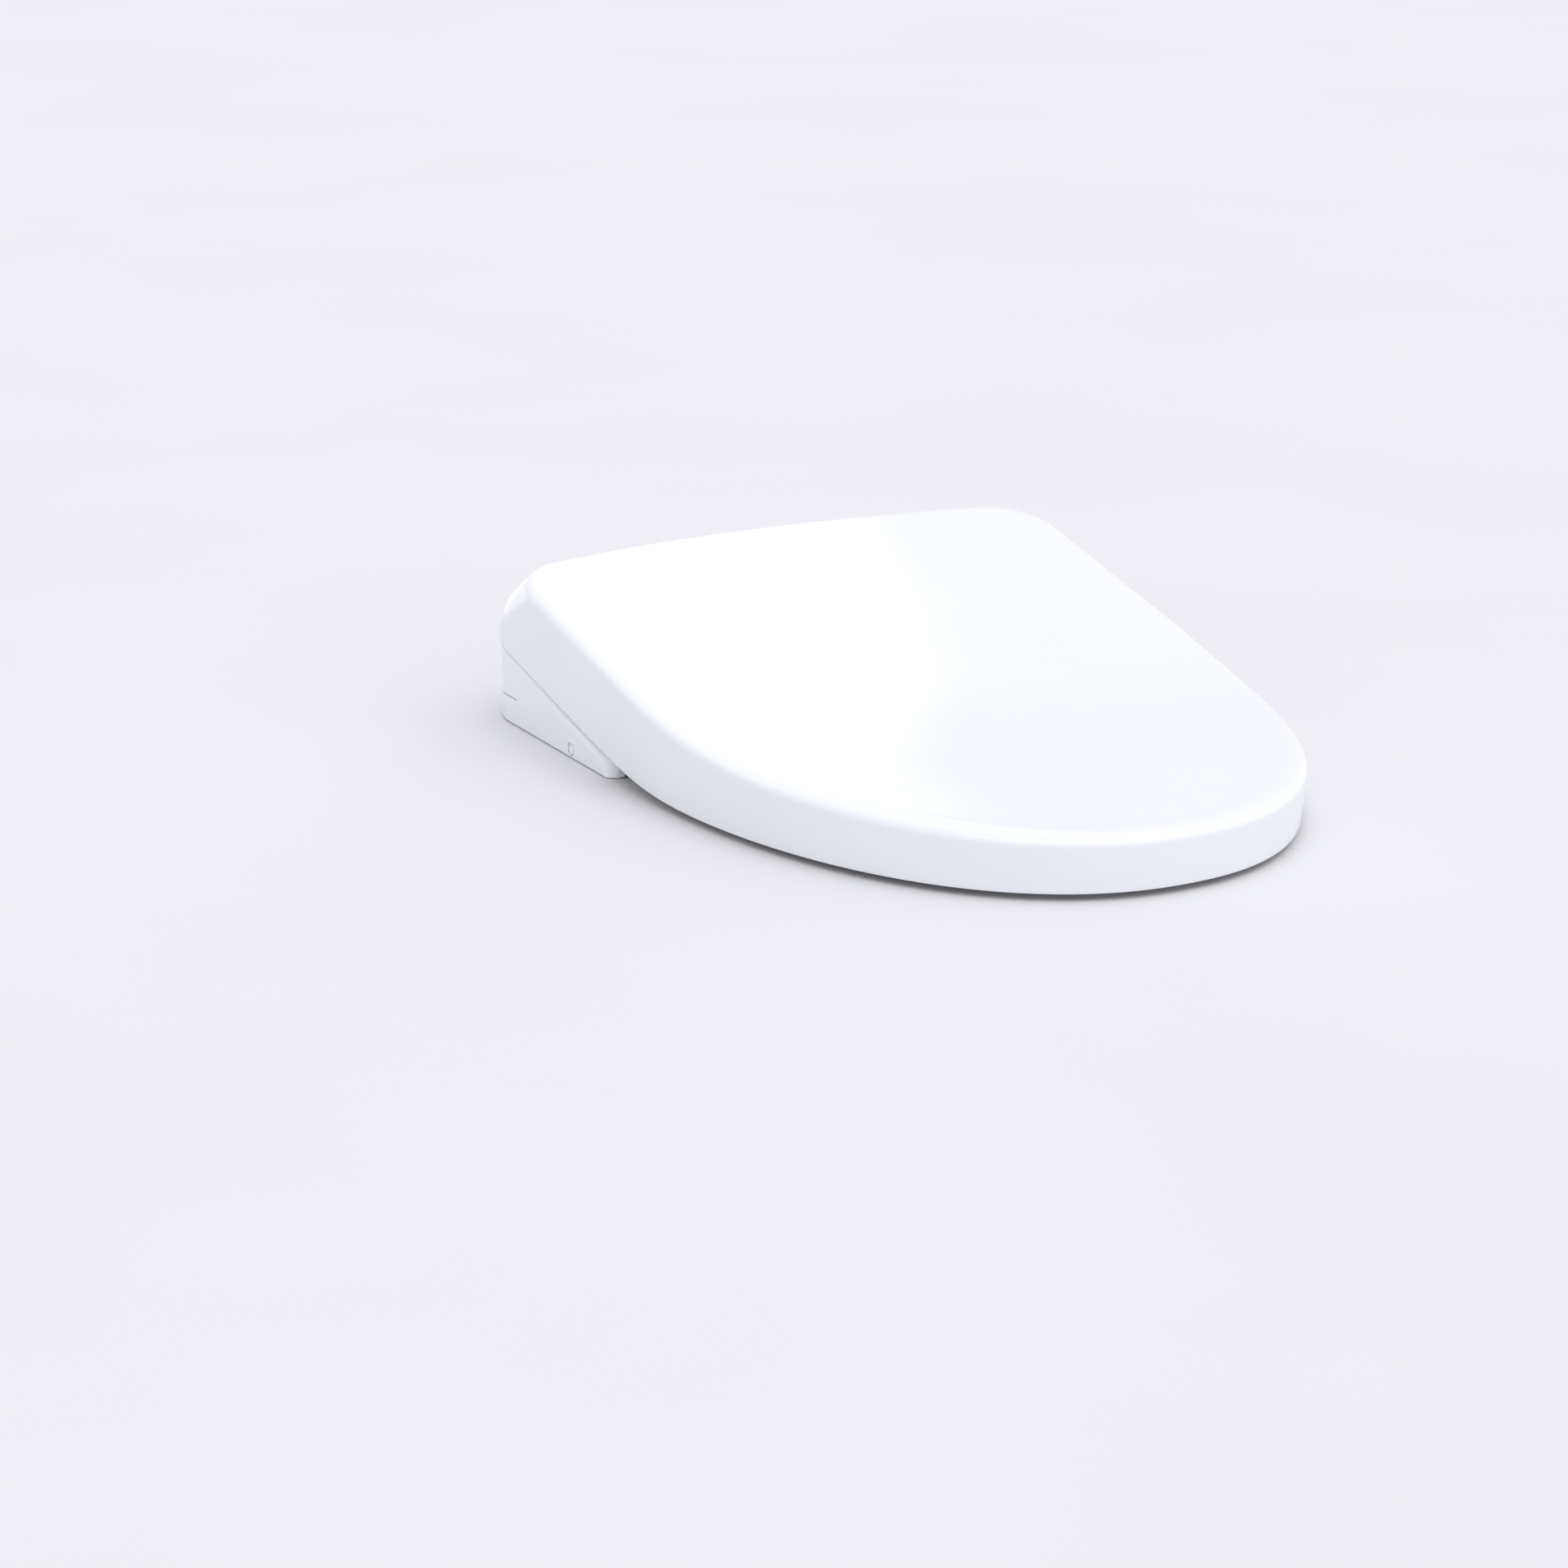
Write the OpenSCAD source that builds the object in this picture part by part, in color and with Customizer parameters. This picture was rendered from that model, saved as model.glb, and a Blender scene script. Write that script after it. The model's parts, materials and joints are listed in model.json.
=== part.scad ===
// Electric bidet seat: lid and heated seat on damped hinges over a housing with a
// spray wand, a warm-air dryer and a deodorizer.
// +X is the sitter's left, -Y is the front, +Z is up; z = 0 is the rim it rests on.

/* [Overall] */
// Length from the lid's tip to the rear edge
body_l = 530; // [500:1:560]
// Greatest width of the lid
body_w = 387; // [370:1:400]
// Bow of the rear edge between its corners
rear_bow = 5.5; // [3:0.5:8]
// Plan radius of the rear corners
corner_r = 40; // [34:1:46]

/* [Lid] */
// Length of the lid's rounded nose
nose_l = 320; // [300:5:340]
// Fullness of the nose, 2 is an ellipse
nose_power = 2.17; // [2:0.01:2.4]
// Inset of the lid's lower edge
rim_inset = 2.6; // [1:0.2:4]
// Wall of the lid
lid_wall = 3; // [2.5:0.1:3.2]
// Height of the top face above its shoulder
shoulder_rise = 3.9; // [2:0.1:5]
// Crown across the lid's top face
crown = 3.7; // [2:0.1:5]
// Distance the rear wall leans forward
rear_lean = 43; // [40:1:46]

/* [Seat] */
// Half width of the seat ring
seat_half_w = 176; // [172:1:177]
// Half width of the seat's opening
hole_half_w = 107; // [100:1:112]
// Wall of the seat's upper shell
seat_wall = 3; // [2.5:0.1:3.4]

/* [Hinge] */
// Hinge line of lid and seat behind the middle of the length
hinge_y = 248; // [247:0.5:249]
// Height of the hinge line
hinge_z = 43; // [42:0.5:44]
// Radius of the hinge shafts
shaft_r = 4; // [3.5:0.1:4.2]
// Radial running clearance of shafts and pins
run_gap = 0.05; // [0.02:0.01:0.09]

/* [Housing] */
// Wall of the case parts
wall = 2.5; // [2:0.1:3]
// Half width of the middle tower
tower_half_w = 134; // [132:1:135]
// Front face of the housing
front_y = 118; // [117:0.5:119]
// Gap between the lid's lower edge and the side covers
cover_gap = 1.8; // [1.5:0.1:2.5]

/* [Wand] */
// Slope of the spray wand
wand_tilt = 30; // [29:1:31]
// Radius of the wand
wand_r = 6.5; // [6:0.1:6.7]
// Length of the wand
wand_l = 92; // [90:1:92]
// Distance the wand starts behind the gate
wand_back = 22; // [22:1:24]

/* [Mounting] */
// Distance between the two bolts
bolt_pitch = 140; // [120:1:155]
// Radius of the bolt holes
bolt_hole_r = 4.25; // [4:0.05:4.5]
// Radius of the threaded water inlet
inlet_r = 10.45; // [10.3:0.05:10.5]
// Radius of the cord opening
cord_hole_r = 3.7; // [3.3:0.1:4]

/* [Hidden] */
$fn = 48;

white = [0.95, 0.96, 0.98];
half_l = body_l / 2;
half_w = body_w / 2;
nose_end = nose_l - half_l;
corner_x = half_w - corner_r;
far = 700;                        // longer than any part, for cutting blocks

// Rings of the lid: the rear edge a ring would have with no inset.
rim_rear = half_l + rim_inset;
cover_inset = rim_inset + 1;
side_wall = 3;

// Hinge stations along X.
seat_arm_x = [137, 149];
lid_arm_x = [151, 159];
hub_r = 6.5;
shaft_in_x = 98;
shaft_out_x = 160;
shelf_z = 28;
arm_slot_z = 30.5;

// Front face openings, where the wand line meets the gate at wand_mouth.
panel_t = 2.4;
gate_t = 2;
gate_y = front_y - panel_t - 0.4;
wand_mouth = [gate_y, 19.5];
gate_pin = [gate_y - 1.6, 37.6];
gate_pin_r = 1;
pinion_teeth = 14;
pinion_r = pinion_teeth / 2;
rack_x = 10;
pinion_back = 30;
dryer_x = 58;

// Blower.
fan_at = [62, 192];
fan_z = 12;

// ---------------------------------------------------------------- height rules

function softplus(t) = t > 30 ? t : ln(1 + exp(t));
function smooth(t) = let(c = min(1, max(0, t))) c * c * (3 - 2 * c);
function rim_z(y) = 4.35 + 5.9 * softplus((y + half_l - 303) / 25);
function shoulder_z(y) = 32.96 + 0.029 * (y + half_l) + 6.21 * softplus((y + half_l - 223) / 30);
function nose_width(y) = y >= nose_end ? half_w
    : half_w * pow(1 - pow(max(0, 1 - (y + half_l) / nose_l), nose_power), 1 / nose_power);
function lid_crown(x, y) = let(w = max(1, nose_width(y)))
    crown * max(0, 1 - x * x / (w * w)) * min(1, (y + half_l) / 120);

// Right half of a plan outline, from the tip to the middle of the rear edge.
function half_outline(inset, rear) = let(edge_y = rear - rear_bow - corner_r) concat(
    [for (a = [0:4:88]) [
        (half_w - inset) * pow(sin(a), 2 / nose_power),
        -half_l + inset + (nose_l - inset) * (1 - pow(cos(a), 2 / nose_power))]],
    [for (k = [0:5]) [half_w - inset, nose_end + (edge_y - nose_end) * k / 5]],
    [for (a = [10:10:90]) [
        corner_x + (corner_r - inset) * cos(a), edge_y + (corner_r - inset) * sin(a)]],
    [for (k = [1:6]) let(x = corner_x * (1 - k / 6))
        [x, rear - inset - rear_bow * pow(x / corner_x, 2)]]);

function outline(inset, rear) = let(h = half_outline(inset, rear), n = len(h))
    concat(h, [for (k = [n - 2:-1:1]) [-h[k].x, h[k].y]]);

// Triangles between rings of n points; a closed loop also joins the last to the first.
function strip(n, m, loop) = [for (i = [0:m - (loop ? 1 : 2)]) for (j = [0:n - 1])
    let(k = (j + 1) % n, p = (i + 1) % m)
    for (t = [[i * n + j, i * n + k, p * n + k], [i * n + j, p * n + k, p * n + j]]) t];

// A skin of rings from one pole to the other.
module capped_skin(rings, first, last) {
    n = len(rings[0]);
    m = len(rings);
    points = concat([for (r = rings) for (p = r) p], [first, last]);
    polyhedron(points, concat(strip(n, m, false),
        [for (j = [0:n - 1]) [n * m, (j + 1) % n, j]],
        [for (j = [0:n - 1]) [n * m + 1, (m - 1) * n + j, (m - 1) * n + (j + 1) % n]]),
        convexity = 8);
}

// A ring whose cross-section is swept round it and closes on itself.
module loop_skin(sections) {
    polyhedron([for (s = sections) for (p = s) p],
        strip(len(sections[0]), len(sections), true), convexity = 8);
}

// ---------------------------------------------------------------- small helpers

// Extrudes a [y, z] shape along X.
module along_x(x0, x1) {
    translate([x0, 0, 0]) rotate([90, 0, 90]) linear_extrude(x1 - x0) children();
}

module rod_x(x0, x1, r, y = hinge_y, z = hinge_z) {
    translate([x0, y, z]) rotate([0, 90, 0]) cylinder(h = x1 - x0, r = r);
}

module rod_y(y0, y1, r, x, z) {
    translate([x, y1, z]) rotate([90, 0, 0]) cylinder(h = y1 - y0, r = r);
}

module block(low, high) {
    translate(low) cube(high - low);
}

module rounded_block(low, high, r) {
    size = high - low;
    translate([low.x + r, low.y + r, low.z]) linear_extrude(size.z)
        hull() for (x = [0, size.x - 2 * r], y = [0, size.y - 2 * r])
            translate([x, y]) circle(r, $fn = 32);
}

module plan_block(inset, z0, z1) {
    translate([0, 0, z0]) linear_extrude(z1 - z0) polygon(outline(inset, rim_rear));
}

module mirrored(side) {
    mirror([side > 0 ? 0 : 1, 0, 0]) children();
}

module wand_line() {
    translate([0, wand_mouth[0], wand_mouth[1]]) rotate([wand_tilt, 0, 0]) children();
}

module wand_rod(back0, back1, r) {
    wand_line() rod_y(back0, back1, r, 0, 0);
}

// ---------------------------------------------------------------- lid

function lid_rear(t) = rim_rear - rear_lean * pow(t, 1.8) - rim_inset * t;

// A ring of the skirt at height share t, 0 at the rim and 1 at the shoulder.
function skirt_ring(t, inset) = [for (p = outline(inset + rim_inset * (1 - t), lid_rear(t)))
    [p.x, p.y, rim_z(p.y) * (1 - t) + (shoulder_z(p.y) + lid_crown(p.x, p.y)) * t]];

// A ring of the top face, shrunk towards the middle.
function top_ring(inset, share, drop) = [for (p = outline(inset, half_l - rear_lean))
    let(x = p.x * share, y = p.y * share)
    [x, y, shoulder_z(y) + lid_crown(x, y) + shoulder_rise - drop]];

module lid_shell() color(white) {
    centre_z = shoulder_z(0) + crown + shoulder_rise;
    outer = concat(
        [for (s = [0.2, 0.45, 0.7, 0.88]) top_ring(8, s, 0)],
        [top_ring(8, 1, 0), top_ring(4, 1, 0.9), top_ring(1.4, 1, 2.4)],
        [for (t = [1:-0.2:0.1]) skirt_ring(t, 0)], [skirt_ring(0, 0)]);
    inner = concat([skirt_ring(0, lid_wall)],
        [for (t = [0.2:0.2:0.95]) skirt_ring(t, lid_wall)],
        [top_ring(lid_wall, 1, shoulder_rise + 1.6), top_ring(6, 1, lid_wall + 1.2)],
        [for (s = [0.94, 0.8, 0.5, 0.2]) top_ring(8, s, lid_wall)]);
    capped_skin(concat(outer, inner), [0, 0, centre_z], [0, 0, centre_z - lid_wall]);
}

module lid_hinge(side) color(white) mirrored(side) difference() {
    union() {
        rod_x(lid_arm_x[0], lid_arm_x[1], hub_r);
        along_x(lid_arm_x[0], lid_arm_x[1]) polygon(concat(
            [[hinge_y - 5, hinge_z - 3], [hinge_y + 5, hinge_z + 2]],
            [for (t = [0.04:0.12:0.9]) let(y = lid_rear(t) - rim_inset - rear_bow - 5)
                [y, rim_z(y) * (1 - t) + shoulder_z(y) * t - 1]],
            [[206, 92], [224, 66]]));
    }
    rod_x(lid_arm_x[0] - 1, lid_arm_x[1] + 1, side > 0 ? shaft_r + 0.02 : shaft_r + run_gap);
}

module lid_shaft() color("silver") {
    rod_x(shaft_in_x, shaft_out_x, shaft_r);
    rod_x(shaft_out_x, shaft_out_x + 1.2, shaft_r + 1.2);
}

// Small pads inside the lid, just above the seat's top.
bumper_r = 7;
lid_pads = [[118, -120], [150, 10]];
module lid_bumpers() color("gainsboro") for (side = [-1, 1], p = lid_pads) {
    under = shoulder_z(p.y) + lid_crown(p.x, p.y) + shoulder_rise - lid_wall;
    low = seat_top_z(p.y) + 0.5;
    translate([side * p.x, p.y, low]) cylinder(h = under - 1.4 - low, r = bumper_r);
}

// ---------------------------------------------------------------- seat

seat_mid_y = 40;
seat_rear_y = 130;
seat_tip_y = -254;
hole_mid_y = -40;
hole_rear_y = 85;
hole_front_y = -195;

function seat_top_z(y) = 27.5 + 7.8 * softplus((y + 20) / 30);
function seat_base_z(y) = 5.4 + 36.6 * smooth((y - 30) / 48);

// An oval whose front and rear halves have their own length and fullness.
function oval(a, half, mid, front, rear, front_power, rear_power) =
    let(c = cos(a), s = sin(a), q = 2 / (s < 0 ? front_power : rear_power))
    [half * sign(c) * pow(abs(c), q), mid + (s < 0 ? front - mid : rear - mid) * pow(abs(s), q)];
function seat_outer(a) = oval(a, seat_half_w, seat_mid_y, seat_tip_y, seat_rear_y, 2.15, 5);
function seat_inner(a) = oval(a, hole_half_w, hole_mid_y, hole_front_y, hole_rear_y, 2.2, 2.6);

// A point at height z and distance e inwards from the outer edge, at the oval's angle a.
function seat_width(a) = norm(seat_inner(a) - seat_outer(a));
function seat_point(a, e, z) = let(o = seat_outer(a), p = o + (seat_inner(a) - o) * e / seat_width(a))
    [p.x, p.y, z];

seat_step = 5;
plate_t = 3.2;
function seat_levels(a) = let(y = (seat_outer(a).y + seat_inner(a).y) / 2)
    [seat_base_z(y), seat_top_z(y)];

function seat_shell_section(a) = let(l = seat_levels(a), b = l[0], t = l[1], h = t - b,
    w = seat_width(a), k = seat_wall, foot = b + plate_t + 0.2) [
    seat_point(a, 0, foot), seat_point(a, 0, t - 0.42 * h), seat_point(a, 2.5, t - 0.15 * h),
    seat_point(a, 9, t), seat_point(a, w / 2, t), seat_point(a, w - 12, t - 0.12 * h),
    seat_point(a, w - 3, t - 0.3 * h), seat_point(a, w, t - 0.5 * h), seat_point(a, w, foot),
    seat_point(a, w - k, foot), seat_point(a, w - k, t - 0.5 * h - 1),
    seat_point(a, w - 13, t - 0.12 * h - k), seat_point(a, w / 2, t - k),
    seat_point(a, 9, t - k), seat_point(a, k, t - 0.42 * h - 1), seat_point(a, k, foot)];

module seat_top() color(white)
    loop_skin([for (a = [0:seat_step:359]) seat_shell_section(a)]);

module seat_bottom() color(white)
    loop_skin([for (a = [0:seat_step:359]) let(b = seat_levels(a)[0], w = seat_width(a)) [
        seat_point(a, 0.4, b), seat_point(a, 0.4, b + plate_t),
        seat_point(a, w - 0.4, b + plate_t), seat_point(a, w - 0.4, b)]]);

// Heating foil under the top shell.
heater_gap = 0.8;
module seat_heater() color("goldenrod")
    loop_skin([for (a = [0:seat_step:359]) let(l = seat_levels(a), h = l[1] - l[0],
        w = seat_width(a), z = l[1] - seat_wall - heater_gap) [
        seat_point(a, 11, z - 0.6), seat_point(a, 11, z), seat_point(a, w / 2, z),
        seat_point(a, w - 15, z - 0.12 * h - 0.2), seat_point(a, w - 15, z - 0.12 * h - 0.8),
        seat_point(a, w / 2, z - 0.6)]]);

module seat_bumpers() color("lightgray") for (side = [-1, 1], p = [[78, -205], [138, -30]])
    translate([side * p.x, p.y, 0]) {
        cylinder(h = 3, r1 = 8, r2 = 10);
        translate([0, 0, 3]) cylinder(h = seat_base_z(p.y) - 3, r = 10);
    }

module seat_hinge(side) color(white) mirrored(side) difference() {
    union() {
        rod_x(seat_arm_x[0], seat_arm_x[1], hub_r);
        along_x(seat_arm_x[0], seat_arm_x[1]) polygon([[hinge_y, hinge_z - hub_r],
            [hinge_y, hinge_z + hub_r], [240, 50.5], [150, 54.5], [132, 50.5], [108, 49.6],
            [108, 45.4], [134, 45.4], [150, 43], [220, 40]]);
    }
    rod_x(seat_arm_x[0] - 1, seat_arm_x[1] + 1, side < 0 ? shaft_r + 0.02 : shaft_r + run_gap);
}

module seat_shaft() color("silver") {
    rod_x(-shaft_out_x, -shaft_in_x, shaft_r);
    rod_x(-shaft_out_x - 1.2, -shaft_out_x, shaft_r + 1.2);
}

// ---------------------------------------------------------------- case

// Side view of everything the lid's lower edge and rear sweep leave free.
taper_z = 40;
taper = 11.5;
function side_view(drop) = concat(
    [for (y = [70:14:252]) [y, rim_z(y) - cover_gap - drop]],
    [[266, rim_z(262) - cover_gap - drop], [266, taper_z], [265 - taper, 0], [70, 0]]);

module side_view_block(drop, x0, x1) {
    along_x(x0, x1) polygon(side_view(drop));
}

cover_x = 150;
bay_x = 179;
cover_floor = 0.8;
button_at = [130, 6];
module side_cover(side) color(white) difference() {
    mirrored(side) difference() {
        intersection() {
            plan_block(cover_inset, cover_floor, 70);
            side_view_block(0, cover_x, half_w);
            linear_extrude(70) polygon([[cover_x, 78], [184, 78], [188, 81], [191, 86],
                [191, 266], [cover_x, 266]]);
        }
        intersection() {
            plan_block(cover_inset + side_wall, -1, 70);
            union() {
                block([cover_x - 1, 60, -1], [bay_x, 300, 80]);
                intersection() {
                    block([bay_x + wall, 90, -1], [half_w, 300, 70]);
                    translate([0, 0, -2]) side_view_block(wall, cover_x, half_w);
                }
            }
        }
        block([cover_x - 1, 240, arm_slot_z], [lid_arm_x[1] + 1.2, 300, 80]);
        block([186, 209, 17.6], [half_w, 300, 18.4]);
    }
    if (side < 0) rod_x(-half_w, -bay_x + 1, 3.4, button_at[0], button_at[1]);
    if (side > 0) rod_x(bay_x - 1, half_w, plug_r + 0.3, plug_at[0], plug_at[1]);
    if (side > 0) block([bay_x - 1, cart_y[0] - 0.6, cart_z[0] - 0.6],
        [half_w, cart_y[1] + 0.6, cart_z[1] + 0.6]);
}

// Rear face in side view: it steps forward below the hinge line, where the open lid swings.
relief_y = 258.6;
rear_face = [[200, 80], [266, 80], [266, 41.5], [relief_y, 32.5], [relief_y, 17.8],
    [265 - taper, 0], [200, 0]];

module rear_cover() color(white) difference() {
    intersection() {
        plan_block(cover_inset, cover_floor, 70);
        side_view_block(0, -cover_x + 0.15, cover_x - 0.15);
        along_x(-far / 2, far / 2) polygon(rear_face);
        block([-far / 2, 240, 0], [far / 2, 300, 80]);
    }
    intersection() {
        plan_block(cover_inset + wall, -1, 70);
        translate([0, -wall, 1]) along_x(-far / 2, far / 2) polygon(rear_face);
        block([-far / 2, 200, -1], [far / 2, 300, 80]);
    }
    block([-far / 2, 200, -1], [far / 2, 250, 2]);
    for (side = [-1, 1]) mirrored(side)
        block([seat_arm_x[0] - 0.8, 230, 45], [cover_x, 300, 80]);
    rod_y(240, 266, inlet_hole_r, inlet_x, inlet_z);
    rod_y(240, 266, gland_r + 0.2, cord_x, cord_z);
    for (k = [-4:4]) block([k * 9 - 2, 240, 32], [k * 9 + 2, 270, 44]);
}

// Tower over the works: its side view, from the front face to the rear slope.
tower_view = [[front_y, shelf_z], [front_y, 36], [121, 39.5], [133, 39.5], [136, 44], [138, 72],
    [145, 79.5], [160, 83.2], [205, 94], [218, 94], [252, 58], [254, 54], [254, shelf_z]];
tower_inside = [[front_y + wall, shelf_z - 1], [front_y + wall, 34.5], [122, 37], [135, 37],
    [138.5, 43], [140.5, 70.5], [146.5, 77.2], [160.5, 80.6], [205.3, 91.5], [216.8, 91.5],
    [251, 55], [280, 55], [280, shelf_z - 1]];

module top_cover() color(white) difference() {
    union() {
        along_x(-tower_half_w, tower_half_w) polygon(tower_view);
        intersection() {
            plan_block(cover_inset + side_wall + 0.4, shelf_z, shelf_z + wall);
            block([-bay_x + 1, front_y, 0], [bay_x - 1, 246, 60]);
        }
    }
    along_x(-tower_half_w + wall, tower_half_w - wall) polygon(tower_inside);
    rod_x(-tower_half_w - 1, tower_half_w + 1, shaft_r + run_gap);
    block([-13, front_y - 1, 20], [13, front_y + wall + 1, 33]);
    block([dryer_x - 22, front_y - 1, 20], [dryer_x + 22, front_y + wall + 1, 33]);
    wand_rod(0, 50, wand_r + 0.7);
    rod_y(130, 145, 7.2, 92, 60);
    for (side = [-1, 1]) translate([side * screw_x, screw_y, 20]) cylinder(h = 20, r = 1.8);
}

plate_low = [-95, 172];
plate_high = [95, 238];
plate_h = 6;
base_floor = 1;
base_top = 27.7;
base_half_w = 176;
base_rear = 246;
screw_x = 166;
screw_y = 140;
pad_at = [[150, 128], [150, 228]];

module base_case() color(white) difference() {
    union() {
        difference() {
            rounded_block([-base_half_w, front_y, base_floor], [base_half_w, base_rear, base_top], 6);
            rounded_block([-base_half_w + wall, front_y + wall, base_floor + wall],
                [base_half_w - wall, base_rear - wall, base_top + 1], 4);
        }
        block([plate_low.x - 4.5, plate_low.y - 4.5, base_floor],
            [plate_high.x + 4.5, base_rear, plate_h + 3.5]);
        for (side = [-1, 1]) translate([side * screw_x, screw_y, base_floor])
            cylinder(h = base_top - base_floor, r = 5);
    }
    block([plate_low.x - 2, plate_low.y - 2, -1], [plate_high.x + 2, far, plate_h + 1]);
    for (side = [-1, 1]) translate([side * screw_x, screw_y, base_floor - 1])
        cylinder(h = base_top, r = 1.8);
    for (side = [-1, 1], p = pad_at) translate([side * p.x, p.y, -1]) cylinder(h = 3, r = 8.1);
    block([-13, front_y - 1, 8], [13, front_y + wall + 1, base_top + 2]);
    block([dryer_x - 22, front_y - 1, 8], [dryer_x + 22, front_y + wall + 1, base_top + 2]);
    block([cart_x[0] + 8, cart_y[0] - 0.6, cart_z[0] - 0.6],
        [base_half_w + 1, cart_y[1] + 0.6, cart_z[1] + 0.6]);
    rod_x(-base_half_w - 1, -base_half_w + wall + 1, 2.7, button_at[0], button_at[1]);
    rod_x(base_half_w - wall - 1, base_half_w + 1, plug_r + 0.3, plug_at[0], plug_at[1]);
    rod_y(239.5, base_rear + 1, inlet_hole_r, inlet_x, inlet_z);
    rod_y(base_rear - wall - 1, base_rear + 1, gland_r + 0.2, cord_x, cord_z);
}

module front_panel() color(white) difference() {
    union() {
        block([-26, front_y - panel_t, 4], [dryer_x + 28, front_y, 35]);
        for (x = [-17, 14]) block([x, gate_pin[0] - 2.2, 33.6], [x + 3, front_y, 39.6]);
        for (x = [dryer_x - 24, dryer_x + 21]) block([x, gate_pin[0] - 2.2, 33.6],
            [x + 3, front_y, 39.6]);
    }
    block([-11, 0, 10], [11, far, 31]);
    block([dryer_x - 18, 0, 10], [dryer_x + 18, far, 31]);
    rod_x(-20, dryer_x + 30, gate_pin_r + run_gap, gate_pin[0], gate_pin[1]);
}

module mounting_plate() color("lightgray") difference() {
    rounded_block([plate_low.x, plate_low.y, 0], [plate_high.x, plate_high.y, plate_h], 8);
    for (side = [-1, 1]) translate([side * bolt_pitch / 2, 205, -1]) bush_plan(18, 13, plate_h + 2);
    for (x = [-30, 0, 30]) rounded_block([x - 11, 184, -1], [x + 11, 226, plate_h + 1], 5);
}

module bush_plan(reach, r, h) {
    hull() for (y = [-reach + r, reach - r]) translate([0, y, 0]) cylinder(h = h, r = r, $fn = 32);
}

module mount_bushes() color("dimgray") for (side = [-1, 1])
    translate([side * bolt_pitch / 2, 205, 0]) difference() {
        bush_plan(17.8, 12.8, plate_h);
        translate([0, 0, -1]) cylinder(h = plate_h + 2, r = bolt_hole_r);
        translate([0, 0, 3]) cylinder(h = plate_h, r = 9);
    }

module base_pads() color("dimgray") for (side = [-1, 1], p = pad_at)
    translate([side * p.x, p.y, 0]) cylinder(h = 2, r = 8);

module case_screws() color("silver") for (side = [-1, 1])
    translate([side * screw_x, screw_y, 0]) {
        translate([0, 0, 12]) cylinder(h = shelf_z + wall - 12, r = 1.75);
        translate([0, 0, shelf_z + wall]) cylinder(h = 2.2, r1 = 3.4, r2 = 2.4);
    }

// ---------------------------------------------------------------- hinge dampers

module damper(side) color("dimgray") mirrored(side) difference() {
    union() {
        rod_x(72, 131.3, 7.5);
        rod_x(128, 131.3, 8.2, hinge_y - 0.4);
        block([76, hinge_y - 12, hinge_z - 13], [124, hinge_y - 4, hinge_z - 5]);
    }
    rod_x(shaft_in_x - 1, 140, shaft_r + run_gap);
}

// ---------------------------------------------------------------- water works

inlet_x = -120;
inlet_z = 14.5;
inlet_hole_r = 11.7;
cord_x = 120;
cord_z = 14;
gland_r = 7;
plug_at = [214, 14];
plug_r = 7;

module water_inlet() color("silver") difference() {
    union() {
        rod_y(230, half_l - 0.6, inlet_r, inlet_x, inlet_z);
        block([inlet_x - 12, 222, 3.8], [inlet_x + 12, 240, 25.2]);
        rod_x(inlet_x + 11, inlet_x + 22, 5, 231, 15);
    }
    rod_y(226, half_l + 1, 7.5, inlet_x, inlet_z);
    rod_x(inlet_x, inlet_x + 23, 3, 231, 15);
}

plug_face = half_w - cover_inset - 0.4;
module drain_plug() color(white) {
    difference() {
        rod_x(bay_x + 1, plug_face, plug_r, plug_at[0], plug_at[1]);
        block([plug_face - 1.5, plug_at[0] - 5, plug_at[1] - 1],
            [half_w, plug_at[0] + 5, plug_at[1] + 1]);
    }
    rod_x(150, bay_x + 2, 5, plug_at[0], plug_at[1]);
}

module filter_socket() color("gainsboro") difference() {
    union() {
        rod_x(138, 168, 7.5, plug_at[0], plug_at[1]);
        block([140, plug_at[0] - 4, base_floor + wall], [160, plug_at[0] + 4, plug_at[1] - 5.6]);
    }
    rod_x(148, 170, 5 + run_gap, plug_at[0], plug_at[1]);
}

module solenoid_valve() color("dimgray") {
    rounded_block([-97.5, 212, 12], [-74, 235.5, 22], 3);
    translate([-84, 223, 22]) cylinder(h = 20, r = 10);
    translate([-84, 223, 42]) cylinder(h = 3, r = 4);
}

module heater_tank() color("lightgray") {
    rounded_block([-92, 146, 12], [-28, 208, 46], 8);
    rounded_block([-86, 152, 46], [-34, 202, 54], 6);
    for (x = [-78, -42]) translate([x, 177, 54]) cylinder(h = 9, r = 4);
    rod_y(138, 146, 3.5, -60, 30);
}

module flow_pump() color("gray") {
    translate([-114, 160, 12]) cylinder(h = 26, r = 13);
    translate([-114, 160, 38]) cylinder(h = 14, r = 10);
    rod_y(172, 184, 3.5, -114, 22);
}

// Flexible tubes between the water parts, swept along hand-set routes.
tube_r = 2.6;
tube_runs = [
    [[-97.8, 216, 17], [-103, 216, 17], [-109, 212, 18], [-113, 204, 20], [-114, 194, 22],
        [-114, 184.3, 22]],
    [[-114, 160, 52.3], [-114, 160, 57], [-110, 163, 63], [-101, 168, 67], [-90, 173, 70],
        [-81, 176, 70], [-78, 177, 67], [-78, 177, 63.3]],
    [[-42, 177, 63.3], [-42, 177, 67], [-38, 180, 72], [-30, 188, 75], [-16, 204, 76]]];
tube_planes = [[0, 0, 1], [-17, 36, 0], [-1, 1, 0]]; // normal of the plane each run bends in
function unit(v) = v / norm(v);
function tube_ring(p, d, normal) = let(u = unit(cross(d, normal)), v = cross(u, d))
    [for (a = [0:45:315]) p + tube_r * (u * cos(a) + v * sin(a))];
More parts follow.
